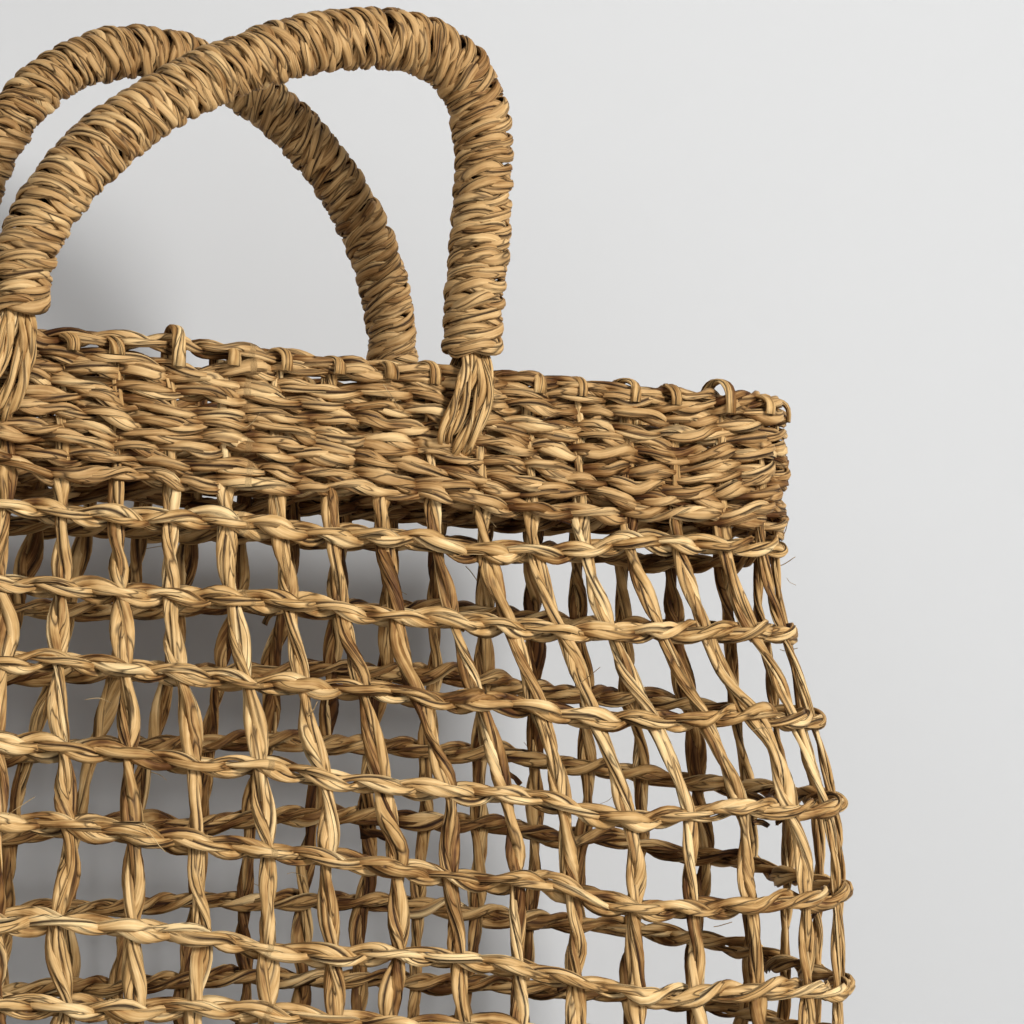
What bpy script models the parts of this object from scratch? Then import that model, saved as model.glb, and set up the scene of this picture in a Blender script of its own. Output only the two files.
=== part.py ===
"""Open-weave seagrass tote basket.

Stakes run down one face, under the base and up the other. Twined rows, a dense rim band and a
woven base hold them, and two wrapped rope handles swing on lashings at the rim.
Metres, +Z up. The origin is at the middle of the base, on the surface that it stands on.
+X is to the right of the front face, which looks along -Y.
"""
import math

import bmesh
import bpy
from mathutils import Vector

# Basket body, measured to the middle of the stakes
RIM_HEIGHT = 0.340
MOUTH_WIDTH = 0.420
MOUTH_DEPTH = 0.065
BASE_WIDTH = 0.466
BASE_DEPTH = 0.130
BASE_CORNER = 0.050
SWELL_HEIGHT = 0.120     # height over which the narrow mouth widens to the full depth
FLARE_SHARE = 0.70       # share of the widening that the swell makes; the rest is an even flare

# Stakes
STAKE_RADIUS = 0.0022
STAKES_PER_QUARTER = 12.5
END_STAKES = 5           # lengthwise stakes; the others run across the base
STAKE_LEAN = 0.016       # sideways lean of each stake from rim to base, as a share of the perimeter
STAKE_BEND = 0.010       # bend radius at the base

# Weft
ROW_COUNT = 9
ROW_THICKNESS = 0.0034
ROW_HEIGHT = 0.0060
ROW_SAG = 0.017          # how far a middle row dips on each face
ROW_TILT = 0.005         # how much lower a middle row lies on the front than on the back
SAG_PLACE = 0.164        # share of the perimeter from the middle of the front to the dip
SAG_RISE = 0.50          # share of half the perimeter over which the dip rises again

# Rim
BAND_HEIGHT = 0.0465
BORDER_HEIGHT = 0.005
BAND_TO_ROW = 0.0090      # from the band's lower edge to the first open row

# Base
SOLE_THICKNESS = 0.003
FLOOR_THICKNESS = 0.0025
FOOT_BAND_HEIGHT = 0.0310
FOOT_TO_ROW = 0.0275     # from the foot band's upper edge to the last open row

# Handles
HANDLE_SPAN = 0.159
HANDLE_RISE = 0.0995
HANDLE_LEAN = {"front": 0.048, "rear": -0.013}
LEAN_POWER = 1.9         # above 1, a handle leans more the higher it is
HANDLE_RADIUS = 0.0102
CORE_RADIUS = 0.0060
HANDLE_LIFT = 0.0042     # room above the lashing for the handle to tip inwards
LASHING_WIDTH = 0.0125
LASHING_THICKNESS = 0.0030
LASHING_DROP = 0.036

# Clearances
GAP = 0.0004             # pieces that rest on each other
WEAVE_GAP = 0.0019       # between a stake and the rows either side of it

# Mesh detail
STAKE_SIDES = 5
HANDLE_SIDES = 8
HANDLE_STEPS = 24
FACE_STEPS = 10
CORNER_STEPS = 8

INNER_FACE = STAKE_RADIUS + WEAVE_GAP
OUTER_FACE = INNER_FACE + ROW_THICKNESS
CROSS_RUN = SOLE_THICKNESS + GAP + STAKE_RADIUS
LONG_RUN = CROSS_RUN + 2 * STAKE_RADIUS + GAP
FLOOR_BOTTOM = LONG_RUN + STAKE_RADIUS + GAP
BAND_BOTTOM = RIM_HEIGHT - BAND_HEIGHT
FIRST_ROW = BAND_BOTTOM - BAND_TO_ROW
FOOT_HEIGHT = RIM_HEIGHT + GAP + LASHING_THICKNESS + HANDLE_LIFT
WALL_FOOT = LONG_RUN + STAKE_BEND
FOOT_TOP = WALL_FOOT + FOOT_BAND_HEIGHT
ROW_PITCH = (FIRST_ROW - FOOT_TOP - FOOT_TO_ROW) / (ROW_COUNT - 1)
# Heights between which the wall runs straight
SWELL_STEPS = 6
SWELL_LEVELS = [BAND_BOTTOM - SWELL_HEIGHT * k / SWELL_STEPS for k in range(SWELL_STEPS + 1)]
LEVELS = [RIM_HEIGHT] + SWELL_LEVELS + [WALL_FOOT]


def material(name, colour, roughness):
    """A plain Principled material."""
    made = bpy.data.materials.new(name)
    made.use_nodes = True
    shader = made.node_tree.nodes["Principled BSDF"]
    shader.inputs["Base Color"].default_value = (*colour, 1)
    shader.inputs["Roughness"].default_value = roughness
    shader.inputs["Metallic"].default_value = 0.0
    return made


def add_object(name, points, faces, finish, parent=None, smooth=False):
    """One named object from world points, with its origin at its parent's."""
    origin = parent.location if parent else Vector((0, 0, 0))
    mesh = bpy.data.meshes.new(name)
    mesh.from_pydata([Vector(p) - origin for p in points], [], faces)
    tidy = bmesh.new()
    tidy.from_mesh(mesh)
    bmesh.ops.recalc_face_normals(tidy, faces=tidy.faces)
    tidy.to_mesh(mesh)
    tidy.free()
    if smooth:
        mesh.shade_smooth()
        mesh.set_sharp_from_angle(angle=math.radians(50))
    mesh.materials.append(finish)
    made = bpy.data.objects.new(name, mesh)
    bpy.context.collection.objects.link(made)
    made.parent = parent
    return made


def smooth_step(x):
    x = min(1.0, max(0.0, x))
    return x * x * (3 - 2 * x)


def plan_point(share, half_width, half_depth, corner):
    """A point and its outward normal on a rounded rectangle, by its share of the perimeter.

    Share 0 is the middle of the front, and it grows towards +X."""
    face, side, turn = half_width - corner, half_depth - corner, corner * math.pi / 2
    quarter = face + turn + side
    travel = (share % 1.0) * 4 * quarter
    back = travel > 2 * quarter
    if back:
        travel -= 2 * quarter
    flip = travel > quarter
    if flip:
        travel = 2 * quarter - travel
    if travel <= face:
        x, y, nx, ny = travel, -half_depth, 0.0, -1.0
    elif travel <= face + turn:
        angle = (travel - face) / corner
        nx, ny = math.sin(angle), -math.cos(angle)
        x, y = face + corner * nx, -side + corner * ny
    else:
        x, y, nx, ny = half_width, travel - face - turn - side, 1.0, 0.0
    if flip:
        y, ny = -y, -ny
    if back:
        x, y, nx, ny = -x, -y, -nx, -ny
    return Vector((x, y, 0)), Vector((nx, ny, 0))


def plan_size(height):
    """Half width, half depth and corner radius of the wall at one height."""
    swell = smooth_step((BAND_BOTTOM - height) / SWELL_HEIGHT)
    fall = (RIM_HEIGHT - height) / RIM_HEIGHT
    widen = FLARE_SHARE * swell + (1 - FLARE_SHARE) * fall
    half_width = (MOUTH_WIDTH + (BASE_WIDTH - MOUTH_WIDTH) * widen) / 2
    half_depth = (MOUTH_DEPTH + (BASE_DEPTH - MOUTH_DEPTH) * swell) / 2
    corner = MOUTH_DEPTH / 2 + (BASE_CORNER - MOUTH_DEPTH / 2) * swell
    return half_width, half_depth, min(corner, half_depth)


def wall_point(share, height, offset=0.0):
    """A point on the wall, straight between the levels, moved outwards by the offset."""
    below = next((k for k in range(1, len(LEVELS)) if height >= LEVELS[k]), len(LEVELS) - 1)
    high, low = LEVELS[below - 1], LEVELS[below]
    part = (high - height) / (high - low)
    place, normal = Vector((0, 0, 0)), Vector((0, 0, 0))
    for level, weight in ((high, 1 - part), (low, part)):
        point, outward = plan_point(share, *plan_size(level))
        place += point * weight
        normal += outward * weight
    place += normal.normalized() * offset
    place.z = height
    return place


def leaned(share, height):
    """A stake's share of the perimeter at one height."""
    return share + STAKE_LEAN * (RIM_HEIGHT - height) / RIM_HEIGHT


def sag_at(share, height):
    """How far a row dips at one place; nothing at the rim band and at the foot band."""
    turn = ((share - SAG_PLACE) * 2) % 1.0
    if turn < SAG_RISE:
        wave = 0.5 * (1 + math.cos(math.pi * turn / SAG_RISE))
    else:
        wave = 0.5 * (1 - math.cos(math.pi * (turn - SAG_RISE) / (1 - SAG_RISE)))
    tilt = 0.5 * math.cos(2 * math.pi * share)
    fall = min(1.0, max(0.0, (BAND_BOTTOM - height) / (BAND_BOTTOM - FOOT_TOP)))
    return (ROW_SAG * wave + ROW_TILT * tilt) * math.sin(math.pi * fall)


def ring_shares(height):
    """The places round the wall where a ring has its points: denser at the round ends."""
    half_width, half_depth, corner = plan_size(height)
    face, side, turn = half_width - corner, half_depth - corner, corner * math.pi / 2
    whole = 4 * (face + side + turn)
    travel = [face * k / (FACE_STEPS / 2) for k in range(FACE_STEPS // 2)]
    travel += [face + turn * k / CORNER_STEPS for k in range(CORNER_STEPS + 1)]
    quarter = [t / whole for t in travel]
    half = quarter + [0.5 - s for s in reversed(quarter[1:])]
    return half + [0.5 + s for s in half]


def ring(name, bottom, top, inner, outer, finish, sag=True):
    """A closed ring of four-sided section that follows the wall between two offsets from it."""
    points, faces = [], []
    middle = (bottom + top) / 2
    shares = ring_shares(middle)
    for share in shares:
        dip = sag_at(share, middle) if sag else 0.0
        for height, offset in ((bottom, inner), (bottom, outer), (top, outer), (top, inner)):
            point = wall_point(share, middle - dip, offset) if sag else wall_point(share, height, offset)
            point.z = height - dip
            points.append(point)
    count = len(shares)
    for k in range(count):
        a, b = 4 * k, 4 * ((k + 1) % count)
        for j in range(4):
            i = (j + 1) % 4
            faces.append((a + j, a + i, b + i, b + j))
    return add_object(name, points, faces, finish)


def heading(path, k, level_ends=False):
    """The direction of a path at one of its points; level ends make the end sections level."""
    last = len(path) - 1
    if level_ends and k in (0, last):
        return Vector((0, 0, 1 if k == 0 else -1))
    return (path[min(k + 1, last)] - path[max(k - 1, 0)]).normalized()


def tube(name, path, sideways, radius, sides, finish, parent=None):
    """A closed tube along a path whose section keeps one side along the sideways direction."""
    points, faces = [], []
    last = len(path) - 1
    for k, place in enumerate(path):
        ahead = heading(path, k, level_ends=parent is not None)
        across = (sideways - ahead * sideways.dot(ahead)).normalized()
        up = ahead.cross(across)
        for j in range(sides):
            angle = 2 * math.pi * (j + 0.5) / sides
            points.append(place + (across * math.cos(angle) + up * math.sin(angle)) * radius)
    for k in range(last):
        for j in range(sides):
            i = (j + 1) % sides
            faces.append((k * sides + j, k * sides + i, (k + 1) * sides + i, (k + 1) * sides + j))
    faces.append(tuple(range(sides)))
    faces.append(tuple(last * sides + j for j in range(sides)))
    return add_object(name, points, faces, finish, parent, smooth=True)


def sleeve(name, path, sideways, inner, outer, sides, finish, parent=None):
    """A tube with a bore through its whole length."""
    points, faces = [], []
    last = len(path) - 1
    for k, place in enumerate(path):
        ahead = heading(path, k, level_ends=True)
        up = ahead.cross(sideways)
        for radius in (outer, inner):
            for j in range(sides):
                angle = 2 * math.pi * (j + 0.5) / sides
                points.append(place + (sideways * math.cos(angle) + up * math.sin(angle)) * radius)
    step = 2 * sides
    for k in range(last):
        for layer in (0, sides):
            for j in range(sides):
                i = (j + 1) % sides
                a, b = k * step + layer, (k + 1) * step + layer
                faces.append((a + j, a + i, b + i, b + j))
    for end in (0, last * step):
        for j in range(sides):
            i = (j + 1) % sides
            faces.append((end + j, end + i, end + sides + i, end + sides + j))
    return add_object(name, points, faces, finish, parent, smooth=True)


def plate(name, bottom, top, inset, finish):
    """A flat slab with the outline of the base, drawn in by the inset."""
    points, faces = [], []
    half_width, half_depth, corner = plan_size(WALL_FOOT)
    shares = ring_shares(WALL_FOOT)
    for height in (bottom, top):
        for share in shares:
            point, normal = plan_point(share, half_width, half_depth, corner)
            point -= normal * inset
            point.z = height
            points.append(point)
    count = len(shares)
    faces.append(tuple(range(count)))
    faces.append(tuple(range(count, 2 * count)))
    for k in range(count):
        after = (k + 1) % count
        faces.append((k, after, count + after, count + k))
    return add_object(name, points, faces, finish)


def stake_path(first, second, run_height):
    """Down the wall at one place, across the base and up the wall at another."""
    heights = [RIM_HEIGHT - BORDER_HEIGHT - GAP] + LEVELS[1:]
    foot_height = run_height + STAKE_BEND
    legs = []
    for share in (first, second):
        leg = [wall_point(leaned(share, h), h) for h in heights]
        if foot_height < WALL_FOOT:
            below = leg[-1].copy()
            below.z = foot_height
            leg.append(below)
        legs.append(leg)
    feet = [leg[-1] for leg in legs]
    inward = feet[1] - feet[0]
    inward.z = 0
    inward.normalize()
    bends = []
    for foot, way in ((feet[0], inward), (feet[1], -inward)):
        bend = []
        for angle in (math.pi / 4, math.pi / 2):
            point = foot + way * STAKE_BEND * (1 - math.cos(angle))
            point.z = run_height + STAKE_BEND * (1 - math.sin(angle))
            bend.append(point)
        bends.append(bend)
    return legs[0] + bends[0] + bends[1][::-1] + legs[1][::-1]


def add_stakes(finish):
    """Stakes across the base from face to face, then the lengthwise ones from end to end."""
    pitch = 0.25 / STAKES_PER_QUARTER
    per_half = int(2 * STAKES_PER_QUARTER)
    across = (per_half - END_STAKES) // 2
    shares = [(k + 0.5) * pitch for k in range(-across, across)]
    for number, share in enumerate(shares, 1):
        path = stake_path(share, 0.5 - share, CROSS_RUN)
        tube(f"stake_{number:02d}", path, Vector((1, 0, 0)), STAKE_RADIUS, STAKE_SIDES, finish)
    for number in range(END_STAKES):
        share = (across + number + 0.5) * pitch
        path = stake_path(share, 1.0 - share, LONG_RUN)
        tube(f"end_stake_{number + 1}", path, Vector((0, 1, 0)), STAKE_RADIUS, STAKE_SIDES, finish)


def add_rows(finish):
    """The open rows: an outer and an inner strand each."""
    for number in range(ROW_COUNT):
        middle = FIRST_ROW - number * ROW_PITCH
        low, high = middle - ROW_HEIGHT / 2, middle + ROW_HEIGHT / 2
        ring(f"weft_row_{number + 1}_outer", low, high, INNER_FACE, OUTER_FACE, finish)
        ring(f"weft_row_{number + 1}_inner", low, high, -INNER_FACE, -OUTER_FACE, finish)


def add_bands(finish, border_finish):
    """The dense rim band and the foot band, each in two layers, and the border on the rim."""
    band_top = RIM_HEIGHT - BORDER_HEIGHT - GAP
    for layer, side in (("outer", 1), ("inner", -1)):
        near, far = side * INNER_FACE, side * OUTER_FACE
        ring(f"rim_band_{layer}", BAND_BOTTOM, band_top, near, far, finish, sag=False)
        ring(f"foot_band_{layer}", WALL_FOOT, FOOT_TOP, near, far, finish, sag=False)
    border_bottom = RIM_HEIGHT - BORDER_HEIGHT
    ring("rim_border", border_bottom, RIM_HEIGHT, -OUTER_FACE, OUTER_FACE, border_finish, sag=False)


def add_base(finish):
    """The woven sole below the stakes and the woven floor above them."""
    plate("base_sole", 0.0, SOLE_THICKNESS, STAKE_RADIUS * 2, finish)
    inset = STAKE_BEND + STAKE_RADIUS + WEAVE_GAP
    plate("base_floor", FLOOR_BOTTOM, FLOOR_BOTTOM + FLOOR_THICKNESS, inset, finish)


def handle_path(lean, side):
    """An arch over the rim that leans to one side as it rises; its feet are upright."""
    path = []
    for k in range(HANDLE_STEPS + 1):
        angle = math.pi * k / HANDLE_STEPS
        lift = max(0.0, math.sin(angle))
        across = HANDLE_SPAN / 2 * math.cos(angle) + lean * lift ** LEAN_POWER
        path.append(Vector((across, side * MOUTH_DEPTH / 2, FOOT_HEIGHT + HANDLE_RISE * lift)))
    return path


def lashing(name, across, side, finish):
    """A saddle over the rim with a leg down each side of the band, as wide as the lashing."""
    face, skin = OUTER_FACE + GAP, OUTER_FACE + GAP + LASHING_THICKNESS
    low, under = RIM_HEIGHT - LASHING_DROP, RIM_HEIGHT + GAP
    top = under + LASHING_THICKNESS
    outline = [(-skin, low), (-face, low), (-face, under), (face, under),
               (face, low), (skin, low), (skin, top), (-skin, top)]
    middle = side * MOUTH_DEPTH / 2
    points = []
    for x in (across - LASHING_WIDTH / 2, across + LASHING_WIDTH / 2):
        points += [(x, middle + y, z) for y, z in outline]
    count = len(outline)
    faces = [(0, 1, 2, 7), (2, 3, 6, 7), (3, 4, 5, 6)]
    faces += [tuple(count + i for i in face) for face in faces]
    for k in range(count):
        after = (k + 1) % count
        faces.append((k, after, count + after, count + k))
    return add_object(name, points, faces, finish)


def add_handles(core_finish, wrap_finish, lashing_finish):
    """Each handle turns about its outer foot edge, where its lashings hold it."""
    for place, side in (("front", -1), ("rear", 1)):
        hinge = bpy.data.objects.new(f"{place}_handle_hinge", None)
        hinge.location = (0, side * (MOUTH_DEPTH / 2 + HANDLE_RADIUS), FOOT_HEIGHT)
        bpy.context.collection.objects.link(hinge)
        path = handle_path(HANDLE_LEAN[place], side)
        depth_axis = Vector((0, 1, 0))
        tube(f"{place}_handle_core", path, depth_axis, CORE_RADIUS, HANDLE_SIDES, core_finish, hinge)
        sleeve(f"{place}_handle_wrap", path, depth_axis, CORE_RADIUS + GAP, HANDLE_RADIUS,
               HANDLE_SIDES, wrap_finish, hinge)
        for end, across in (("left", -HANDLE_SPAN / 2), ("right", HANDLE_SPAN / 2)):
            lashing(f"{place}_{end}_lashing", across, side, lashing_finish)


def build():
    for old in list(bpy.data.objects):
        bpy.data.objects.remove(old, do_unlink=True)
    straw = material("straw_stake", (0.56, 0.39, 0.20), 0.72)
    weft = material("straw_weft", (0.62, 0.44, 0.24), 0.70)
    band = material("straw_band", (0.53, 0.36, 0.18), 0.74)
    border = material("straw_border", (0.58, 0.41, 0.22), 0.72)
    wrap = material("straw_wrap", (0.60, 0.42, 0.21), 0.68)
    core = material("rope_core", (0.42, 0.29, 0.16), 0.85)
    add_stakes(straw)
    add_rows(weft)
    add_bands(band, border)
    add_base(band)
    add_handles(core, wrap, border)
    bpy.context.view_layer.update()


build()
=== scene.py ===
"""Looks of the open-weave seagrass tote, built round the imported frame.

Every cord is real geometry: twined rows of two strands, two-ply stakes, wound handles.
Metres, +Z up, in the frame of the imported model.
"""
import math

import bpy
import numpy as np
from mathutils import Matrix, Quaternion, Vector


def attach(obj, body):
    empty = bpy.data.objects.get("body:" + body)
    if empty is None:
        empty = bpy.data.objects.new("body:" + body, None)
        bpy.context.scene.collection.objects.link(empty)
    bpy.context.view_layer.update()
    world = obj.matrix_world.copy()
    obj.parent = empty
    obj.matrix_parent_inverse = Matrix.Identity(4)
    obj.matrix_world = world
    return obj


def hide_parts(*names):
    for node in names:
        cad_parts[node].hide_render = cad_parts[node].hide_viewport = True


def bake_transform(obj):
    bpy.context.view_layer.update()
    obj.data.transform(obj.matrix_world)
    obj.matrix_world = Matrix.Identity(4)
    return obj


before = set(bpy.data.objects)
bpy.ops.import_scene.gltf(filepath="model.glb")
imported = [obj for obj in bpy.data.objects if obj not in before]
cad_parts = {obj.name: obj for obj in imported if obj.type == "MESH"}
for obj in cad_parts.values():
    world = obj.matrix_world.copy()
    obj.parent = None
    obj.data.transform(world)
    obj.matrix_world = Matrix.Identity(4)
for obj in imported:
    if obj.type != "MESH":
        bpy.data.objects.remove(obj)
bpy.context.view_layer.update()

UP, DOWN, DEPTHWAYS = np.array([0, 0, 1.0]), np.array([0, 0, -1.0]), np.array([0, 1.0, 0])

# The basket's shape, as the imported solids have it
RIM_HEIGHT = 0.340
MOUTH_WIDTH, MOUTH_DEPTH = 0.420, 0.065
BASE_WIDTH, BASE_DEPTH, BASE_CORNER = 0.466, 0.130, 0.050
SWELL_HEIGHT, FLARE_SHARE = 0.120, 0.70
BAND_BOTTOM = 0.2935
FIRST_ROW, ROW_PITCH, ROW_COUNT = 0.2845, 0.0257, 9
FOOT_TOP, WALL_FOOT = 0.0514, 0.0204
STAKE_LEAN = 0.016
ROW_SAG, ROW_TILT, SAG_PLACE, SAG_RISE = 0.017, 0.005, 0.164, 0.50
CROSS_STAKES, END_STAKES = 20, 5
LEGS = 2 * (CROSS_STAKES + END_STAKES)
PITCH = 1 / LEGS
CROSS_RUN, LONG_RUN, STAKE_BEND = 0.0056, 0.0104, 0.010
HANDLE_SPAN, HANDLE_RISE, LEAN_POWER = 0.159, 0.0995, 1.9
HANDLE_LEAN = {"front": 0.048, "rear": -0.013}
HANDLE_RADIUS = {"front": 0.0106, "rear": 0.0094}
FOOT_HEIGHT, FOOT_BELOW = 0.3476, 0.0060

# Blades and plies: where the sections of a blade have their points, from one groove to the next
BLADE, PLY_BLADE, FLAT_BLADE = (0.0, 0.13, 0.5, 0.87), (0.0, 0.14, 0.5, 0.86), (0.0, 0.5)
BLADE_LAY, PLY_TURN = 0.055, 0.09          # lengths of cord in which a blade or a ply turns once
BLADE_DRIFT, PLY_DRIFT = 0.018, 0.03       # lengths over which the shape of one changes

# The rows
PERIMETER = 1.04
ROW_WIDE, ROW_THICK, ROW_ASIDE = 0.0017, 0.0011, 0.0012
ROW_OUT, ROW_UP = 0.0033, 0.0014
ROW_PLY_OUT, ROW_LAY = 0.0007, 0.034
BAND_ROWS, FOOT_ROWS, BAND_CROSSINGS = 10, 6, 46
TURN_PLACE = 0.161       # share of the perimeter at which the twining changes direction
FOOT_PRESS, PRESS_REACH = 0.0018, 0.016    # how the handles' feet press the top row down
# How far each row lies above or below its even height, in millimetres, at shares of the perimeter
SHIFT_PLACES = (-0.045, 0.0, 0.04, 0.08, 0.12, 0.16, 0.20, 0.33, 0.50)
ROW_SHIFTS = ((-2.2, -1.4, -2.0, -3.8, -3.6, 3.0, 4.0, 1.0, 0.0),
              (0.0, 2.6, 1.4, 0.8, 1.6, 4.0, 6.0, 5.0, 0.5),
              (2.2, 2.5, 4.5, 4.4, 2.0, 5.5, 6.0, 6.0, 6.0),
              (2.4, 2.5, 2.4, 2.6, -1.4, 4.5, 5.0, 6.0, 6.0),
              (4.0, 2.4, 2.5, 2.3, -2.4, 0.5, 2.0, 6.0, 5.0),
              (0.6, -2.0, 1.8, 0.4, -4.4, -2.5, -3.8, -1.0, 3.5),
              (2.0, 2.0, 4.0, 5.0, 4.0, 2.0, 0.0, 0.0, 2.0))

# The stakes
STAKE_STEP, STAKE_TOP_GAP, STAKE_WOBBLE = 0.0028, 0.0052, 0.0011

# The base mats' blades, lengthwise and then from face to face: the pitch, how far a blade's edge
# lies from its middle, the step along it, its half width, half thickness and tone
MAT_BLADES = ((0.0062, 0.0031, 0.0048, 0.0028, 0.00075, 0.50),
              (0.0096, 0.0030, 0.0042, 0.0030, 0.00065, 0.45))
MAT_WAVE, MAT_MIDDLE = 0.0006, 0.0015

# The handles
HANDLE_STEP = 0.003
STALKS, STALK_RING, STALK_RADIUS, STALK_LAPS = 7, 0.0040, 0.0021, 2.5
WRAP_PITCH, WRAP_STEP, WRAP_THICK, WRAP_END = 0.0050, 0.0023, 0.0018, 0.0022
FOOT_SLOPE = 0.36
# The lashings: each of the four cords as its offset across the foot and its lean further down
LASHING_CORDS = ((-0.0052, -0.0082), (-0.0022, -0.0085), (0.0012, -0.0074), (0.0042, -0.0068))
LASHING_DROP, LASHING_LONGER = 0.0262, 0.0034

# Straw: colours from the darkest to the palest blade
STRAW = ((0.0, (0.090, 0.034, 0.008)), (0.22, (0.25, 0.122, 0.036)), (0.48, (0.49, 0.290, 0.108)),
         (0.74, (0.66, 0.430, 0.190)), (1.0, (0.80, 0.580, 0.290)))
BROWNER = ((0.0, (0.080, 0.028, 0.006)), (0.22, (0.20, 0.094, 0.027)), (0.48, (0.40, 0.228, 0.086)),
           (0.74, (0.54, 0.335, 0.142)), (1.0, (0.69, 0.465, 0.215)))
# The colour of the painted shade in the grooves between blades and along the fold lines
CREASE_SHADE_COLOUR = (0.018, 0.0050, 0.0010)
# How finely each noise changes along a cord, round it and from cord to cord, and over the basket
STREAKS, BLOTCHES, FOLDS, PATCHES = (70, 3000, 1), (110, 420, 1), (42, 460, 1), 16.0
STREAK_WEIGHT, BLOTCH_WEIGHT, PATCH_WEIGHT = 0.95, 0.85, 0.45
# The fold lines' width, how strongly fold lines and grooves are painted in shade, and the most
# shade painted
FOLD_WIDTH, FOLD_LINE_SHADE, GROOVE_SHADE_STRENGTH, SHADE_LIMIT = 0.026, 0.80, 0.95, 0.93
ROUGHNESS, ROUGHNESS_SPREAD, SPECULAR = 0.62, 0.22, 0.16
RIBS, BUMP_STRENGTH, BUMP_DISTANCE = 0.7, 0.7, 0.0005

# Stage, light and camera
PALE, PALE_ROUGHNESS, PALE_SPECULAR = (0.53, 0.531, 0.529), 0.9, 0.2
WALL_Y = 0.160
WORLD_COLOUR, WORLD_STRENGTH = (0.95, 0.97, 1.0), 0.22
# Each light: its name, its place, what it points at, its size and its power
LIGHTS = (("key", (0.64, -1.65, 0.90), (0.05, 0, 0.22), 0.50, 39),
          ("fill", (-1.1, -1.5, 0.9), (0.0, 0, 0.2), 1.0, 7),
          ("back", (-0.7, 1.8, 1.3), (0.0, 0, 0.2), 1.0, 28))
AZIMUTH, ELEVATION, ROLL, DISTANCE = -26.0, -5.17, 1.585, 1.2
TARGET = (0.0959, -0.0325, 0.2924)
SENSOR_WIDTH, LENS = 36.0, 126.140625      # millimetres


# Numbers that drift slowly along a cord

def ease(x):
    x = np.clip(x, 0, 1)
    return x * x * (3 - 2 * x)


def drift(rng, count, knots, size, closed=False):
    """A slow random change along a cord: one value for each of its sections."""
    knots = max(3, int(knots))
    values = rng.normal(0, size, knots + (0 if closed else 2))
    place = np.arange(count) / count * knots
    first = place.astype(int)
    part = ease(place - first)
    return values[first % len(values)] * (1 - part) + values[(first + 1) % len(values)] * part


# The wall of the basket

def plan_size(height):
    """Half the width, half the depth and the corner radius of the wall at a height."""
    swell = ease((BAND_BOTTOM - height) / SWELL_HEIGHT)
    fall = (RIM_HEIGHT - height) / RIM_HEIGHT
    widen = FLARE_SHARE * swell + (1 - FLARE_SHARE) * fall
    half_width = (MOUTH_WIDTH + (BASE_WIDTH - MOUTH_WIDTH) * widen) / 2
    half_depth = (MOUTH_DEPTH + (BASE_DEPTH - MOUTH_DEPTH) * swell) / 2
    corner = np.minimum(MOUTH_DEPTH / 2 + (BASE_CORNER - MOUTH_DEPTH / 2) * swell, half_depth)
    return half_width, half_depth, corner


def wall(share, height):
    """Points on the wall and the outward directions there."""
    share = np.asarray(share, float)
    height = np.broadcast_to(np.asarray(height, float), share.shape)
    half_width, half_depth, corner = plan_size(height)
    face, side, turn = half_width - corner, half_depth - corner, corner * math.pi / 2
    quarter = face + side + turn
    travel = (share % 1.0) * 4 * quarter
    back = travel > 2 * quarter
    travel = np.where(back, travel - 2 * quarter, travel)
    flip = travel > quarter
    travel = np.where(flip, 2 * quarter - travel, travel)
    angle = np.clip((travel - face) / corner, 0, math.pi / 2)
    nx, ny = np.sin(angle), -np.cos(angle)
    x = np.minimum(travel, face) + corner * nx
    y = -side + corner * ny + np.clip(travel - face - turn, 0, None)
    y, ny = np.where(flip, -y, y), np.where(flip, -ny, ny)
    sign = np.where(back, -1.0, 1.0)
    place = np.stack([x * sign, y * sign, height], -1)
    return place, np.stack([nx * sign, ny * sign, np.zeros_like(nx)], -1)


def wall_spot(share, height):
    """One point on the wall, with the directions outwards and along the wall."""
    place, normal = wall(np.array([share]), np.array([height]))
    place, normal = place[0], normal[0]
    return place, normal, np.array([-normal[1], normal[0], 0.0])


def sag_at(share, height):
    """How far a row at a height hangs below its level."""
    turn = ((share - SAG_PLACE) * 2) % 1.0
    wave = np.where(turn < SAG_RISE, 0.5 * (1 + np.cos(math.pi * turn / SAG_RISE)),
                    0.5 * (1 - np.cos(math.pi * (turn - SAG_RISE) / (1 - SAG_RISE))))
    tilt = 0.5 * np.cos(2 * math.pi * share)
    fall = np.clip((BAND_BOTTOM - height) / (BAND_BOTTOM - FOOT_TOP), 0, 1)
    return (ROW_SAG * wave + ROW_TILT * tilt) * np.sin(math.pi * fall)


# Lines

def unit(v):
    return v / np.maximum(np.linalg.norm(v, axis=-1, keepdims=True), 1e-12)


def headings(path, closed=False):
    if closed:
        return unit(np.roll(path, -1, 0) - np.roll(path, 1, 0))
    return unit(np.gradient(path, axis=0))


def crosswise(path, normal, closed):
    """The directions square to a path: away from the wall, and sideways along it."""
    ahead = headings(path, closed)
    up = unit(normal - ahead * np.sum(normal * ahead, -1, keepdims=True))
    return up, np.cross(ahead, up)


def distances(path):
    """How far along a path each of its points lies."""
    return np.concatenate([[0], np.cumsum(np.linalg.norm(np.diff(path, axis=0), axis=1))])


def values_at(at, run, values):
    """Values given at the distances in run, read at the distances in at."""
    return np.stack([np.interp(at, run, values[:, k]) for k in range(3)], -1)


def smooth_line(points, count):
    """A smooth curve through a few points."""
    points = np.asarray(points, float)
    padded = np.concatenate([[2 * points[0] - points[1]], points, [2 * points[-1] - points[-2]]])
    t = np.linspace(0, len(points) - 1, count)
    k = np.minimum(t.astype(int), len(points) - 2)
    f = (t - k)[:, None]
    a, b, c, d = padded[k], padded[k + 1], padded[k + 2], padded[k + 3]
    return 0.5 * (2 * b + (c - a) * f + (2 * a - 5 * b + 4 * c - d) * f ** 2
                  + (3 * b - a - 3 * c + d) * f ** 3)


# Cords as meshes

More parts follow.
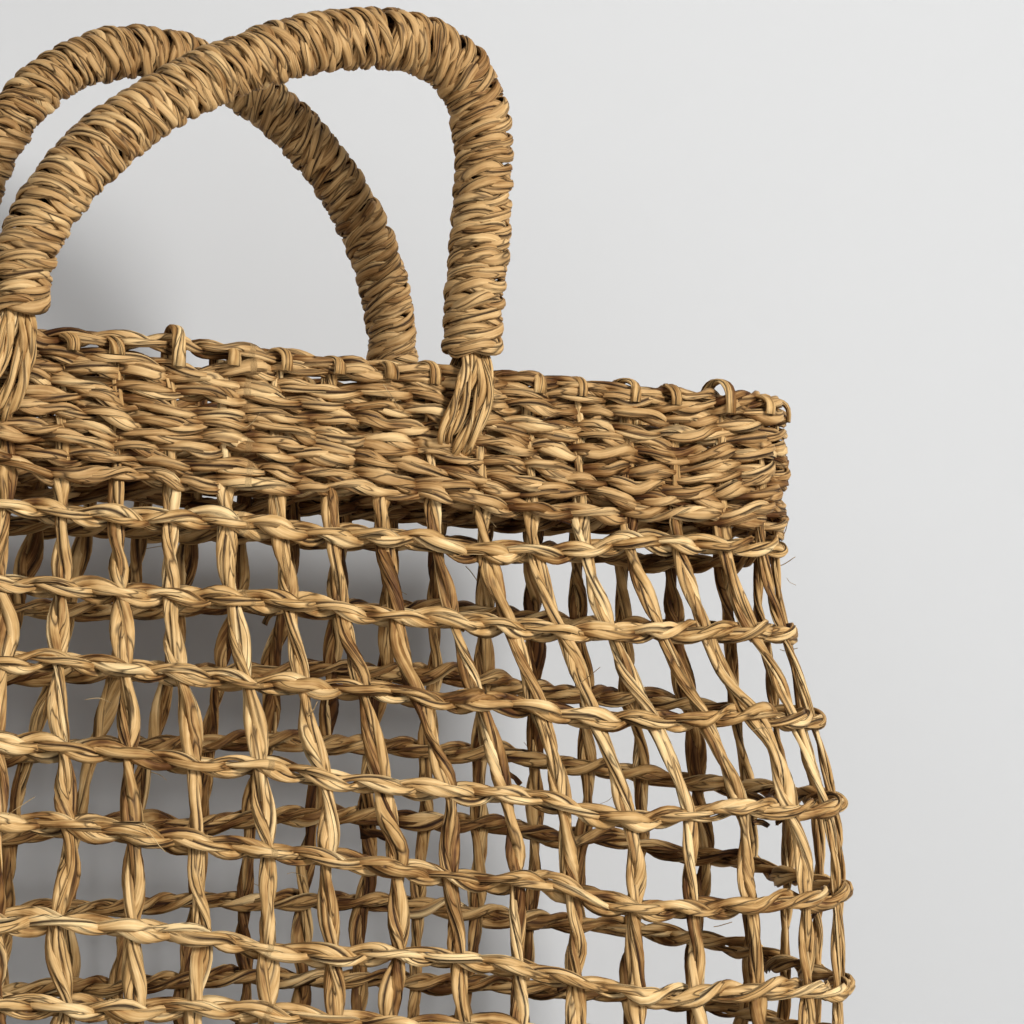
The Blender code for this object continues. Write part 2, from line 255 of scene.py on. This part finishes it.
def strand(path, normal, wide, thick, seed, blades=4, turns=None, depth=0.42, closed=False,
           shape=BLADE, tone=0.5, shade_and_drift=0.0, vary=0.85, inside=0.28):
    """One cord of folded blades: flattened across the normal, with a groove between each two.

    The half that faces away from the normal is darker: painted shade, as the inside of the basket
    lies in shade.
    """
    rng = np.random.default_rng(seed)
    count = len(path)
    up, side = crosswise(path, normal, closed)
    run = distances(path)
    length = run[-1]
    knots = length / BLADE_DRIFT
    if turns is None:
        turns = length / BLADE_LAY
    turns *= 1 if seed % 2 else -1
    spin = 2 * math.pi * turns * np.arange(count) / count + drift(rng, count, knots, 0.5, closed)
    widths = rng.dirichlet(np.full(blades, 6.0))
    starts = np.concatenate([[0], np.cumsum(widths)])[:-1]
    angles, reach, groove_shade, tones = [], [], [], []
    for k in range(blades):
        lift = 1 + rng.normal(0, 0.05) + drift(rng, count, knots, 0.09, closed)
        crease = depth * (1 + drift(rng, count, knots * 1.5, 0.5, closed))
        colour = tone + shade_and_drift + vary * (rng.normal(0, 0.15)
                                        + drift(rng, count, knots * 0.7, 0.13, closed))
        for place in shape:
            # At the groove the cord dips in, and its points are marked for painted shade in the
            # material
            if place == 0.0:
                bulge, groove_shade_amount = 1 - np.clip(crease, 0.04, 0.5), np.clip(crease / depth, 0.2, 1.4)
            else:
                bulge, groove_shade_amount = lift * (0.97 + 0.05 * math.sin(math.pi * place)), np.zeros(count)
            angles.append(2 * math.pi * (starts[k] + widths[k] * place) + spin)
            reach.append(bulge)
            groove_shade.append(groove_shade_amount)
            # Painted shade: the half of the cord that faces away from the normal, into the basket,
            # is darkened by inside
            tones.append(colour - inside * np.clip(-np.sin(angles[-1]), 0, 1))
    angles, reach = np.stack(angles, 1), np.stack(reach, 1)
    wide, thick = np.broadcast_to(wide, (count,)), np.broadcast_to(thick, (count,))
    swell = 1 + drift(rng, count, knots, 0.07, closed)
    across = (wide * swell)[:, None] * np.cos(angles) * reach
    above = (thick * swell)[:, None] * np.sin(angles) * reach
    points = path[:, None] + side[:, None] * across[..., None] + up[:, None] * above[..., None]
    sections = len(shape) * blades
    around = np.broadcast_to(np.arange(sections) / sections, across.shape)
    girth = math.pi * (float(np.mean(wide)) + float(np.mean(thick)))
    fibre = np.stack([np.broadcast_to(run[:, None], across.shape), around * girth,
                      np.full(across.shape, seed * 0.37 % 97)], -1)
    return {"points": points, "closed": closed, "tone": np.stack(tones, 1),
            "groove_shade": np.stack(groove_shade, 1), "fibre": fibre}


def two_ply(path, normal, seed, wide=0.0022, thick=0.00105, out=0.0008, aside=0.0014, lay=0.054,
            blades=3, tone=0.5, shade_and_drift=0.0, squeeze=1.0, vary=0.85, closed=False):
    """Two plies laid round each other along a path, flattened across the normal."""
    rng = np.random.default_rng(seed + 5)
    count = len(path)
    up, side = crosswise(path, normal, closed)
    length = float(np.sum(np.linalg.norm(np.diff(path, axis=0), axis=1)))
    laps, turns, knots = length / lay, length / PLY_TURN, length / PLY_DRIFT
    if closed:
        laps, turns = round(laps), round(turns)
    turn = 2 * math.pi * laps * np.arange(count) / count + rng.uniform(0, 2 * math.pi)
    turn += drift(rng, count, knots, 0.6, closed)
    cords = []
    for ply in (0, 1):
        angle = turn + math.pi * ply
        size = 1 + drift(rng, count, knots, 0.12, closed)
        centre = (path + side * (aside * np.cos(angle) * size * squeeze)[:, None]
                  + up * (out * np.sin(angle) * size)[:, None])
        broad = wide * size * (0.5 + 0.5 * squeeze) * (0.92 + 0.12 * np.abs(np.cos(angle)))
        cords.append(strand(centre, up, broad, thick, seed * 2 + ply, blades=blades,
                            shape=PLY_BLADE, tone=tone + vary * rng.normal(0, 0.12), shade_and_drift=shade_and_drift,
                            turns=turns, vary=vary, closed=closed))
    return cords


def add_object(name, mesh, finish):
    mesh.materials.append(finish)
    made = bpy.data.objects.new(name, mesh)
    bpy.context.scene.collection.objects.link(made)
    return made


def add_cords(name, cords, finish, body, replaces=()):
    """One object of the cords given, which rides on a body."""
    base, corners, starts, sizes = 0, [], [], []
    total = 0
    for cord in cords:
        n, m = cord["points"].shape[:2]
        grid = base + np.arange(n * m).reshape(n, m)
        around, after = np.roll(grid, -1, 1), np.roll(grid, -1, 0)
        around_after = np.roll(after, -1, 1)
        quads = np.stack([grid, after, around_after, around], -1)
        quads = (quads if cord["closed"] else quads[:-1]).reshape(-1, 4)
        corners.append(quads.ravel())
        starts.append(total + 4 * np.arange(len(quads)))
        sizes.append(np.full(len(quads), 4))
        total += 4 * len(quads)
        if not cord["closed"]:
            for cap in (grid[0], grid[-1][::-1]):
                corners.append(cap)
                starts.append([total])
                sizes.append([m])
                total += m
        base += n * m
    mesh = bpy.data.meshes.new(name)
    mesh.vertices.add(base)
    points = np.concatenate([c["points"].reshape(-1, 3) for c in cords])
    mesh.vertices.foreach_set("co", points.astype(np.float32).ravel())
    mesh.loops.add(total)
    mesh.loops.foreach_set("vertex_index", np.concatenate(corners).astype(np.int32))
    starts, sizes = np.concatenate(starts), np.concatenate(sizes)
    mesh.polygons.add(len(starts))
    mesh.polygons.foreach_set("loop_start", starts.astype(np.int32))
    mesh.polygons.foreach_set("loop_total", sizes.astype(np.int32))
    mesh.update(calc_edges=True)
    mesh.validate()
    mesh.shade_smooth()
    for key in ("tone", "groove_shade"):
        values = np.concatenate([c[key].ravel() for c in cords]).astype(np.float32)
        mesh.attributes.new(key, "FLOAT", "POINT").data.foreach_set("value", values)
    fibre = np.concatenate([c["fibre"].reshape(-1, 3) for c in cords]).astype(np.float32)
    mesh.attributes.new("fibre", "FLOAT_VECTOR", "POINT").data.foreach_set("vector", fibre.ravel())
    made = add_object(name, mesh, finish)
    if body:
        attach(made, body)
    if replaces:
        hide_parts(*replaces)
    return made


# Materials

def straw(name, colours, shift=0.0):
    """Dry seagrass: colour by blade, streaks along it, painted shade in the grooves and fold lines,
    a fine ribbed surface.
    """
    made = bpy.data.materials.new(name)
    made.use_nodes = True
    tree = made.node_tree
    shader = tree.nodes["Principled BSDF"]
    new, link = tree.nodes.new, tree.links.new

    def math_node(kind, a, b, clamp=False):
        node = new("ShaderNodeMath")
        node.operation, node.use_clamp = kind, clamp
        for socket, value in zip(node.inputs, (a, b)):
            if isinstance(value, (int, float)):
                socket.default_value = value
            else:
                link(value, socket)
        return node.outputs[0]

    def attribute(key, output):
        node = new("ShaderNodeAttribute")
        node.attribute_name = key
        return node.outputs[output]

    def noise(vector, scale, detail, stretch=None):
        if stretch:
            mapping = new("ShaderNodeMapping")
            mapping.inputs["Scale"].default_value = stretch
            link(vector, mapping.inputs["Vector"])
            vector = mapping.outputs[0]
        node = new("ShaderNodeTexNoise")
        node.inputs["Scale"].default_value = scale
        node.inputs["Detail"].default_value = detail
        link(vector, node.inputs["Vector"])
        return node.outputs[0]

    def line_at(value, width):
        """1 where a noise crosses its middle value, 0 away from there: thin wandering lines."""
        away = math_node("ABSOLUTE", math_node("SUBTRACT", value, 0.5), 0.0)
        return math_node("SUBTRACT", 1.0, math_node("DIVIDE", away, width), clamp=True)

    def weighed(value, weight):
        return math_node("MULTIPLY", math_node("SUBTRACT", value, 0.5), weight)

    tone, groove_shade = attribute("tone", "Fac"), attribute("groove_shade", "Fac")
    fibre = attribute("fibre", "Vector")
    place = new("ShaderNodeTexCoord").outputs["Object"]
    streak = noise(fibre, 1.0, 3.0, STREAKS)
    blotch = noise(fibre, 1.0, 2.0, BLOTCHES)
    fold = noise(fibre, 1.0, 1.0, FOLDS)
    patch = noise(place, PATCHES, 1.0)
    mixed = weighed(streak, STREAK_WEIGHT)
    for part in (weighed(blotch, BLOTCH_WEIGHT), weighed(patch, PATCH_WEIGHT), tone):
        mixed = math_node("ADD", mixed, part)
    mixed = math_node("ADD", mixed, shift, clamp=True)
    ramp = new("ShaderNodeValToRGB")
    elements = ramp.color_ramp.elements
    elements.remove(elements[1])
    for k, (at, colour) in enumerate(colours):
        element = elements[0] if k == 0 else elements.new(at)
        element.position = at
        element.color = (*colour, 1)
    link(mixed, ramp.inputs[0])
    dark = new("ShaderNodeMix")
    dark.data_type = "RGBA"
    # Painted shade: the grooves between blades and the thin fold lines are mixed towards the dark
    # crease colour; the fold lines are also real grooves in the bump below
    lines = line_at(fold, FOLD_WIDTH)
    crease = math_node("MAXIMUM", math_node("MULTIPLY", groove_shade, GROOVE_SHADE_STRENGTH),
                       math_node("MULTIPLY", lines, FOLD_LINE_SHADE))
    link(math_node("MINIMUM", crease, SHADE_LIMIT), dark.inputs["Factor"])
    link(ramp.outputs[0], dark.inputs["A"])
    dark.inputs["B"].default_value = (*CREASE_SHADE_COLOUR, 1)
    link(dark.outputs["Result"], shader.inputs["Base Color"])
    rough = math_node("ADD", math_node("MULTIPLY", streak, ROUGHNESS_SPREAD),
                      ROUGHNESS - ROUGHNESS_SPREAD / 2)
    link(rough, shader.inputs["Roughness"])
    shader.inputs["Specular IOR Level"].default_value = SPECULAR
    bump = new("ShaderNodeBump")
    bump.inputs["Strength"].default_value = BUMP_STRENGTH
    bump.inputs["Distance"].default_value = BUMP_DISTANCE
    link(math_node("SUBTRACT", math_node("MULTIPLY", streak, RIBS), lines), bump.inputs["Height"])
    link(bump.outputs[0], shader.inputs["Normal"])
    return made


# Basket pieces

def twined_row(name, height, seed, sag, finish, replaces, up=ROW_UP, wide=ROW_WIDE,
               thick=ROW_THICK, out=ROW_OUT, aside=ROW_ASIDE, step=0.0019, rough=0.0008,
               crossings=LEGS, loose=0.16, shifts=None, crossing_shade=0.32, press=0.0, tone=0.58):
    """Two strands that cross between the stakes, one in front of each stake and one behind.

    Each strand is a cord of two plies, and the row runs once round the basket.
    """
    rng = np.random.default_rng(seed)
    count = int(PERIMETER / step)
    share = np.arange(count) / count
    lean = STAKE_LEAN * (RIM_HEIGHT - height) / RIM_HEIGHT
    dip = sag_at(share, height) if sag else 0.0
    level = height - dip + drift(rng, count, 46, rough, True)
    if press:
        feet = (np.abs(wall(share, height)[0][:, 0]) - HANDLE_SPAN / 2) / PRESS_REACH
        level = level - press * np.exp(-feet ** 2)
    if shifts:
        level = level + 0.001 * np.interp(share, SHIFT_PLACES, shifts, period=1.0)
    place, normal = wall(share, level)
    start = 0.5 if crossings == LEGS else rng.uniform(0, 2)
    index = (share - lean) * crossings - start
    # The twining runs one way up to a stake near the turning place, and back beyond it
    turn_one = round((TURN_PLACE - lean) * crossings - start + rng.normal(0, 0.6))
    turn_two = turn_one + crossings // 2
    beyond = np.where(index < turn_two, 2 * turn_one - index, index + 2 * (turn_one - turn_two))
    phase = np.where(index < turn_one, index, beyond)
    phase = math.pi * phase + drift(rng, count, 60, loose, True)
    cords = []
    for k in (0, 1):
        angle = phase + math.pi * k
        front, over = np.cos(angle), -np.sin(angle)
        reach = out * (1 + drift(rng, count, 50, 0.06, True))
        path = place + normal * (reach * front)[:, None]
        path[:, 2] += over * up * (1 + drift(rng, count, 40, 0.18, True))
        broad = wide * (0.80 + 0.26 * np.abs(front)) * (1 + drift(rng, count, 70, 0.13, True))
        # Painted shade: where a strand passes through the middle of the wall, between the stakes,
        # it is darkened by the crossing shade; a slow random change of tone comes on top
        shade_and_drift = -crossing_shade * (1 - np.abs(front)) ** 2 + drift(rng, count, 90, 0.08, True)
        cords += two_ply(path, normal, 2 * seed + k, broad, thick, ROW_PLY_OUT, aside, ROW_LAY,
                         blades=2, tone=tone, shade_and_drift=shade_and_drift, vary=0.75, closed=True)
    return add_cords(name, cords, finish, "basket", replaces)


def stake_path(first, second, run_height, seed):
    """Down one wall, across the base and up the other.

    With the path come the directions that face outwards, and how tightly the cord is squeezed.
    """
    rng = np.random.default_rng(seed)
    foot = run_height + STAKE_BEND
    heights = np.arange(RIM_HEIGHT - STAKE_TOP_GAP, foot, -STAKE_STEP)
    legs, tight = [], []
    for share in (first, second):
        lean = STAKE_LEAN * (RIM_HEIGHT - heights) / RIM_HEIGHT
        wobble = drift(rng, len(heights), 14, STAKE_WOBBLE)
        wobble *= ease((RIM_HEIGHT - 0.045 - heights) / 0.03) * ease((heights - 0.03) / 0.03)
        place, normal = wall(share + lean + wobble, np.maximum(heights, WALL_FOOT))
        place[:, 2] = heights
        legs.append((place, normal))
        rows = (FIRST_ROW - heights - sag_at(share + lean, heights)) / ROW_PITCH
        near = np.cos(math.pi * rows) ** 2
        tight.append(np.where(heights > BAND_BOTTOM, 0.6, 1.05 - 0.38 * near ** 2))
    (left, left_out), (right, right_out) = legs
    inward = unit((right[-1] - left[-1]) * np.array([1, 1, 0]))
    turns = np.linspace(0, math.pi / 2, 6)[1:]

    def bend(foot_point, way):
        points = foot_point + way * (STAKE_BEND * (1 - np.cos(turns)))[:, None]
        points[:, 2] = run_height + STAKE_BEND * (1 - np.sin(turns))
        out = -way * np.cos(turns)[:, None] + DOWN * np.sin(turns)[:, None]
        return points, out

    down, down_out = bend(left[-1], inward)
    rise, rise_out = bend(right[-1], -inward)
    span = np.linalg.norm(rise[-1] - down[-1])
    part = np.linspace(0, 1, max(4, int(span / (STAKE_STEP * 1.4))))[1:-1, None]
    run = down[-1] * (1 - part) + rise[-1] * part
    run_out = np.broadcast_to(DOWN, run.shape)
    path = np.concatenate([left, down, run, rise[::-1], right[::-1]])
    normal = np.concatenate([left_out, down_out, run_out, rise_out[::-1], right_out[::-1]])
    below = np.full(len(path) - len(left) - len(right), 0.8)
    return path, normal, np.concatenate([tight[0], below, tight[1][::-1]])


def add_stakes(finish):
    half = CROSS_STAKES // 2
    stakes = [(f"stake_{k + half + 1:02d}", (k + 0.5) * PITCH, 0.5, CROSS_RUN, 301 + k + half, 0.50)
              for k in range(-half, half)]
    stakes += [(f"end_stake_{k}", (half + k - 0.5) * PITCH, 1.0, LONG_RUN, 340 + k, 0.48)
               for k in range(1, END_STAKES + 1)]
    for node, share, mirror, run_height, seed, tone in stakes:
        path, normal, squeeze = stake_path(share, mirror - share, run_height, seed)
        cords = two_ply(path, normal, seed + 100, tone=tone, squeeze=squeeze)
        add_cords(f"{node}_cord", cords, finish, "basket", [node])


def add_rows(finish):
    for number in range(1, ROW_COUNT + 1):
        height = FIRST_ROW - (number - 1) * ROW_PITCH
        nodes = [f"weft_row_{number}_outer", f"weft_row_{number}_inner"]
        shifts = ROW_SHIFTS[number - 1] if number <= len(ROW_SHIFTS) else None
        twined_row(f"weft_row_{number}_strands", height, 100 + 7 * number, True, finish,
                   nodes, shifts=shifts)


def add_band(finish):
    """The dense rows of the rim band and of the foot band."""
    pitch = (RIM_HEIGHT - BAND_BOTTOM) / BAND_ROWS
    for number in range(BAND_ROWS):
        height = RIM_HEIGHT - pitch * (number + 0.5) - 0.0006
        twined_row(f"rim_band_row_{number + 1}", height, 200 + 5 * number, False, finish,
                   ["rim_band_outer", "rim_band_inner"], up=0.0012, wide=0.0017,
                   thick=0.00115, out=0.0038, aside=0.0010, step=0.0022, rough=0.0010,
                   crossings=BAND_CROSSINGS, loose=0.50, crossing_shade=0.45, tone=0.61,
                   press=FOOT_PRESS if number == 0 else 0.0)
    pitch = (FOOT_TOP - WALL_FOOT) / FOOT_ROWS
    for number in range(FOOT_ROWS):
        height = FOOT_TOP - pitch * (number + 0.5)
        twined_row(f"foot_band_row_{number + 1}", height, 260 + 5 * number, False, finish,
                   ["foot_band_outer", "foot_band_inner"], up=0.0010, wide=0.0017,
                   out=0.0034, aside=0.0011, step=0.0030, rough=0.0004,
                   crossings=BAND_CROSSINGS, loose=0.45, crossing_shade=0.45)


def add_border(finish):
    """The stakes' ends, turned over the top row, and pressed flat beside the handles' feet."""
    cords = []
    rng = np.random.default_rng(71)
    low, top = -0.0018, RIM_HEIGHT - 0.0055
    for leg in range(LEGS):
        share = (leg + 0.5) * PITCH + rng.normal(0, 0.0015)
        place, normal, along = wall_spot(share, RIM_HEIGHT)
        lean = rng.normal(0.0012, 0.0010)
        high = rng.uniform(low, 0.0002) + (0.0042 if rng.random() < 0.14 else 0.0)
        if abs(abs(place[0]) - HANDLE_SPAN / 2) < 0.017:
            high = low
        turn = np.linspace(-0.25, math.pi + 0.25, 13)
        path = (place + normal * (0.0052 * np.cos(turn))[:, None]
                + along * (lean * np.cos(turn))[:, None])
        path[:, 2] = top + (0.0055 + high) * np.sign(np.sin(turn)) * np.abs(np.sin(turn)) ** 0.7
        way = normal * np.cos(turn)[:, None] + UP * np.sin(turn)[:, None]
        cords.append(strand(path, way, rng.uniform(0.0018, 0.0026), 0.0009, 700 + leg, tone=0.48,
                            turns=0.1))
    add_cords("rim_border_ends", cords, finish, "basket", ["rim_border"])


def base_mat(name, bottom, inset, seed, finish, node):
    """A plain weave of flat blades with the outline of the base."""
    half_width, half_depth, corner = (float(v) - inset for v in plan_size(np.array(WALL_FOOT)))
    pitches = [blade[0] for blade in MAT_BLADES]
    cords = []
    for turned, (pitch, edge, step, wide, thick, tone) in enumerate(MAT_BLADES):
        along, across = (half_depth, half_width) if turned else (half_width, half_depth)
        lines = int(2 * across / pitch)
        for k in range(lines):
            off = (k - (lines - 1) / 2) * pitch
            over = max(0.0, abs(off) + edge - (across - corner))
            reach = along - corner + math.sqrt(max(0.0, corner ** 2 - over ** 2)) - 0.001
            run = np.arange(-reach, reach, step)
            wave = np.cos(math.pi * (run / pitches[1 - turned] + k)) * MAT_WAVE
            level = bottom + MAT_MIDDLE + (-wave if turned else wave)
            flat = [run, np.full_like(run, off)]
            path = np.stack([*(flat[::-1] if turned else flat), level], -1)
            cords.append(strand(path, np.broadcast_to(UP, path.shape), wide, thick,
                                seed + 90 * turned + k, blades=3, shape=FLAT_BLADE, tone=tone,
                                turns=0.5))
    add_cords(name, cords, finish, "basket", [node])


def handle_path(lean, side):
    """The middle line of a handle from foot to foot, in even steps, and its length."""
    angle = np.linspace(0, math.pi, 160)
    lift = np.maximum(0, np.sin(angle))
    x = HANDLE_SPAN / 2 * np.cos(angle) + lean * lift ** LEAN_POWER
    y = np.full_like(x, side * MOUTH_DEPTH / 2)
    path = np.stack([x, y, FOOT_HEIGHT + HANDLE_RISE * lift], -1)
    drop = np.linspace(FOOT_BELOW, 0, 6)[:-1]
    first, last = np.repeat(path[:1], 5, 0), np.repeat(path[-1:], 5, 0)
    first[:, 2] -= drop
    last[:, 2] -= drop[::-1]
    path = np.concatenate([first, path, last])
    run = distances(path)
    at = np.linspace(0, run[-1], int(run[-1] / HANDLE_STEP))
    return values_at(at, run, path), run[-1]


def add_handle(place, side, seed, core_finish, wrap_finish):
    path, length = handle_path(HANDLE_LEAN[place], side)
    across = np.cross(headings(path), DEPTHWAYS)
    # A bundle of stalks inside
    within = path[:, 2] > FOOT_HEIGHT - 0.0012
    inner, up = path[within], across[within]
    depth = np.broadcast_to(DEPTHWAYS, inner.shape)
    cords = []
    for k in range(STALKS):
        off = 0.0 if k == 0 else STALK_RING
        angle = k * math.pi / 3 + 2 * math.pi * np.linspace(0, STALK_LAPS, len(inner))
        line = inner + depth * (off * np.cos(angle))[:, None] + up * (off * np.sin(angle))[:, None]
        cords.append(strand(line, depth, STALK_RADIUS, STALK_RADIUS, seed + k, blades=3,
                            shape=FLAT_BLADE, tone=0.25))
    add_cords(f"{place}_handle_stalks", cords, core_finish, f"{place}_handle",
              [f"{place}_handle_core"])
    # The cord wound round it
    rng = np.random.default_rng(seed + 50)
    wound = HANDLE_RADIUS[place] - WRAP_THICK
    run = np.linspace(0, length, len(path))
    turns = int(length / WRAP_PITCH)
    count = int(turns * 2 * math.pi * wound / WRAP_STEP)
    at = np.linspace(WRAP_END, length - WRAP_END, count)
    angle = 2 * math.pi * turns * np.arange(count) / count
    at = np.clip(at + drift(rng, count, turns * 2.3, 0.0005), 0.001, length - 0.001)
    mid, upward = values_at(at, run, path), unit(values_at(at, run, across))
    out = DEPTHWAYS * np.cos(angle)[:, None] + upward * np.sin(angle)[:, None]
    slow, quick = drift(rng, count, length / 0.03, 0.035), drift(rng, count, turns * 1.7, 0.012)
    line = mid + out * (wound * (1 + slow + quick))[:, None]
    # The inner side of each foot sits higher, so that it clears the rim as the handle swings in
    inward = np.clip(0.004 - side * (line[:, 1] - mid[:, 1]), 0, None)
    line[:, 2] += FOOT_SLOPE * inward * ease((FOOT_HEIGHT + 0.008 - mid[:, 2]) / 0.012)
    cords = two_ply(line, out, seed + 60, wide=0.0020, thick=0.0010, aside=0.0013, lay=0.026,
                    tone=0.62, vary=0.5)
    add_cords(f"{place}_handle_winding", cords, wrap_finish, f"{place}_handle",
              [f"{place}_handle_wrap"])


def add_lashings(finish):
    """Four cords at each handle foot, down the band, in through it and up the inside."""
    for place, side in (("front", -1), ("rear", 1)):
        for end, x in (("left", -HANDLE_SPAN / 2), ("right", HANDLE_SPAN / 2)):
            rim = side * MOUTH_DEPTH / 2
            cords = []
            seed = 500 + (side > 0) * 20 + (x > 0) * 10
            for k, (aside, lean) in enumerate(LASHING_CORDS):
                drop = LASHING_DROP + LASHING_LONGER * (k > 1)
                low = x + aside * 0.8 + lean
                line = smooth_line([
                    (x + aside * 0.5, rim + side * 0.0010, FOOT_HEIGHT + 0.0005),
                    (x + aside * 0.9 - 0.001, rim + side * 0.0066, RIM_HEIGHT - 0.0010),
                    (x + aside * 1.1 + lean * 0.3, rim + side * 0.0084, RIM_HEIGHT - drop * 0.3),
                    (x + aside * 1.1 + lean * 0.6, rim + side * 0.0084, RIM_HEIGHT - drop * 0.6),
                    (x + aside * 0.9 + lean, rim + side * 0.0074, RIM_HEIGHT - drop * 0.88),
                    (low, rim + side * 0.0030, RIM_HEIGHT - drop),
                    (low, rim - side * 0.0045, RIM_HEIGHT - drop),
                    (x + aside + lean * 0.7, rim - side * 0.0078, RIM_HEIGHT - drop * 0.75),
                    (x + aside + lean * 0.3, rim - side * 0.0078, RIM_HEIGHT - drop * 0.36),
                    (x + aside * 0.7, rim - side * 0.0060, RIM_HEIGHT + 0.0010),
                    (x + aside * 0.5, rim - side * 0.0010, FOOT_HEIGHT + 0.0005)], 60)
                out = line - np.array([x, rim, RIM_HEIGHT - 0.018])
                out[:, 0] = 0
                out[:, 2] *= 0.25
                cords += two_ply(line, unit(out), seed + k, wide=0.0014, thick=0.0011,
                                 aside=0.0008, lay=0.034, tone=0.52, vary=0.6)
            made = add_cords(f"{place}_{end}_lashing_strands", cords, finish, None,
                             [f"{place}_{end}_lashing"])
            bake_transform(made)


def add_loose_ends(finish):
    """Cut blade ends inside the weave and fine fibres that stand off it."""
    rng = np.random.default_rng(97)
    cords = []
    for k in range(26):
        height = FIRST_ROW - rng.integers(0, ROW_COUNT) * ROW_PITCH
        share = rng.uniform(0, 1) if k > 9 else rng.uniform(0.08, 0.22)
        level = height - float(sag_at(np.array(share), height))
        place, normal, along = wall_spot(share, level)
        along = along * rng.choice([-1, 1])
        length = rng.uniform(0.006, 0.014)
        way = along * rng.uniform(0.4, 1.0) - normal * rng.uniform(0.15, 0.7)
        way = way + UP * rng.uniform(-1, 0.6)
        way = way / np.linalg.norm(way)
        start = place - normal * 0.0035
        mid = start + way * length * 0.5 + UP * 0.001
        line = smooth_line([start, mid, start + way * length], 7)
        out = np.broadcast_to(normal, line.shape)
        cords.append(strand(line, out, rng.uniform(0.0010, 0.0019), 0.0007, 900 + k, blades=3,
                            shape=FLAT_BLADE, tone=0.25, turns=0.3))
    add_cords("weft_cut_ends", cords, finish, "basket")
    cords = []
    for k in range(90):
        height = rng.uniform(0.05, RIM_HEIGHT)
        place, normal, along = wall_spot(rng.uniform(0, 1), height)
        along = along * rng.choice([-1, 1])
        start = place + normal * 0.0035
        length = rng.uniform(0.004, 0.011)
        bend = rng.normal(0, 0.35, 3)
        way = normal * rng.uniform(0.1, 0.5) + along * rng.uniform(0.2, 1)
        way = way + UP * rng.uniform(-0.6, 0.8)
        way = way / np.linalg.norm(way)
        tip = start + (way * 0.5 + (way + bend) * 0.5) * length
        line = smooth_line([start, start + way * length * 0.4, tip], 8)
        radius = rng.uniform(0.00010, 0.00020)
        cords.append(strand(line, np.broadcast_to(normal, line.shape), radius, radius, 1100 + k,
                            blades=2, shape=FLAT_BLADE, depth=0.1, tone=0.85, turns=0.0,
                            inside=0.0))
    add_cords("loose_fibres", cords, finish, "basket")


# Stage, light and camera

def plain(name, one_way=False):
    """A flat pale finish. One way, it is clear from behind."""
    made = bpy.data.materials.new(name)
    made.use_nodes = True
    tree = made.node_tree
    shader = tree.nodes["Principled BSDF"]
    shader.inputs["Base Color"].default_value = (*PALE, 1)
    shader.inputs["Roughness"].default_value = PALE_ROUGHNESS
    shader.inputs["Specular IOR Level"].default_value = PALE_SPECULAR
    if one_way:
        side, clear, mix = (tree.nodes.new(kind) for kind in
                            ("ShaderNodeNewGeometry", "ShaderNodeBsdfTransparent",
                             "ShaderNodeMixShader"))
        output = tree.nodes["Material Output"]
        tree.links.new(side.outputs["Backfacing"], mix.inputs[0])
        tree.links.new(shader.outputs[0], mix.inputs[1])
        tree.links.new(clear.outputs[0], mix.inputs[2])
        tree.links.new(mix.outputs[0], output.inputs["Surface"])
    return made


def add_plane(name, corners, finish):
    mesh = bpy.data.meshes.new(name)
    mesh.from_pydata(corners, [], [(0, 1, 2, 3)])
    made = add_object(name, mesh, finish)


def add_light(name, place, target, size, power):
    lamp = bpy.data.lights.new(name, "AREA")
    lamp.shape = "SQUARE"
    lamp.size, lamp.energy = size, power
    made = bpy.data.objects.new(name, lamp)
    made.location = place
    made.rotation_euler = (Vector(target) - Vector(place)).to_track_quat("-Z", "Y").to_euler()
    bpy.context.scene.collection.objects.link(made)


def add_stage():
    add_plane("floor", [(-4, -4, 0), (4, -4, 0), (4, 4, 0), (-4, 4, 0)], plain("pale_floor"))
    add_plane("backdrop", [(-3, WALL_Y, -0.01), (3, WALL_Y, -0.01), (3, WALL_Y, 2.5),
                           (-3, WALL_Y, 2.5)], plain("pale_backdrop", one_way=True))
    world = bpy.data.worlds.new("studio")
    world.use_nodes = True
    background = world.node_tree.nodes["Background"]
    background.inputs[0].default_value = (*WORLD_COLOUR, 1)
    background.inputs[1].default_value = WORLD_STRENGTH
    bpy.context.scene.world = world
    for light in LIGHTS:
        add_light(*light)


def add_camera():
    bpy.context.scene.view_settings.view_transform = "Standard"
    azimuth, elevation = math.radians(AZIMUTH), math.radians(ELEVATION)
    back = Vector((math.sin(azimuth) * math.cos(elevation),
                   -math.cos(azimuth) * math.cos(elevation), math.sin(elevation)))
    lens = bpy.data.cameras.new("camera")
    lens.sensor_width = SENSOR_WIDTH
    lens.lens = LENS
    lens.clip_start, lens.clip_end = 0.05, 50.0
    made = bpy.data.objects.new("camera", lens)
    made.location = Vector(TARGET) + back * DISTANCE
    turned = (-back).to_track_quat("-Z", "Y") @ Quaternion((0, 0, 1), math.radians(ROLL))
    made.rotation_euler = turned.to_euler()
    bpy.context.scene.collection.objects.link(made)
    bpy.context.scene.camera = made


stake_straw = straw("stake_straw", STRAW)
weft_straw = straw("weft_straw", STRAW, shift=0.05)
band_straw = straw("band_straw", BROWNER, shift=0.02)
border_straw = straw("border_straw", STRAW, shift=-0.02)
wrap_straw = straw("wrap_straw", BROWNER)
core_straw = straw("core_straw", BROWNER, shift=-0.15)

add_camera()
add_stage()
add_stakes(stake_straw)
add_rows(weft_straw)
add_band(band_straw)
add_border(border_straw)
base_mat("base_sole_mat", 0.0, 0.0044, 2000, band_straw, "base_sole")
base_mat("base_floor_mat", 0.0127, 0.0134, 2300, band_straw, "base_floor")
add_handle("front", -1, 1500, core_straw, wrap_straw)
add_handle("rear", 1, 1600, core_straw, wrap_straw)
add_lashings(border_straw)
add_loose_ends(stake_straw)
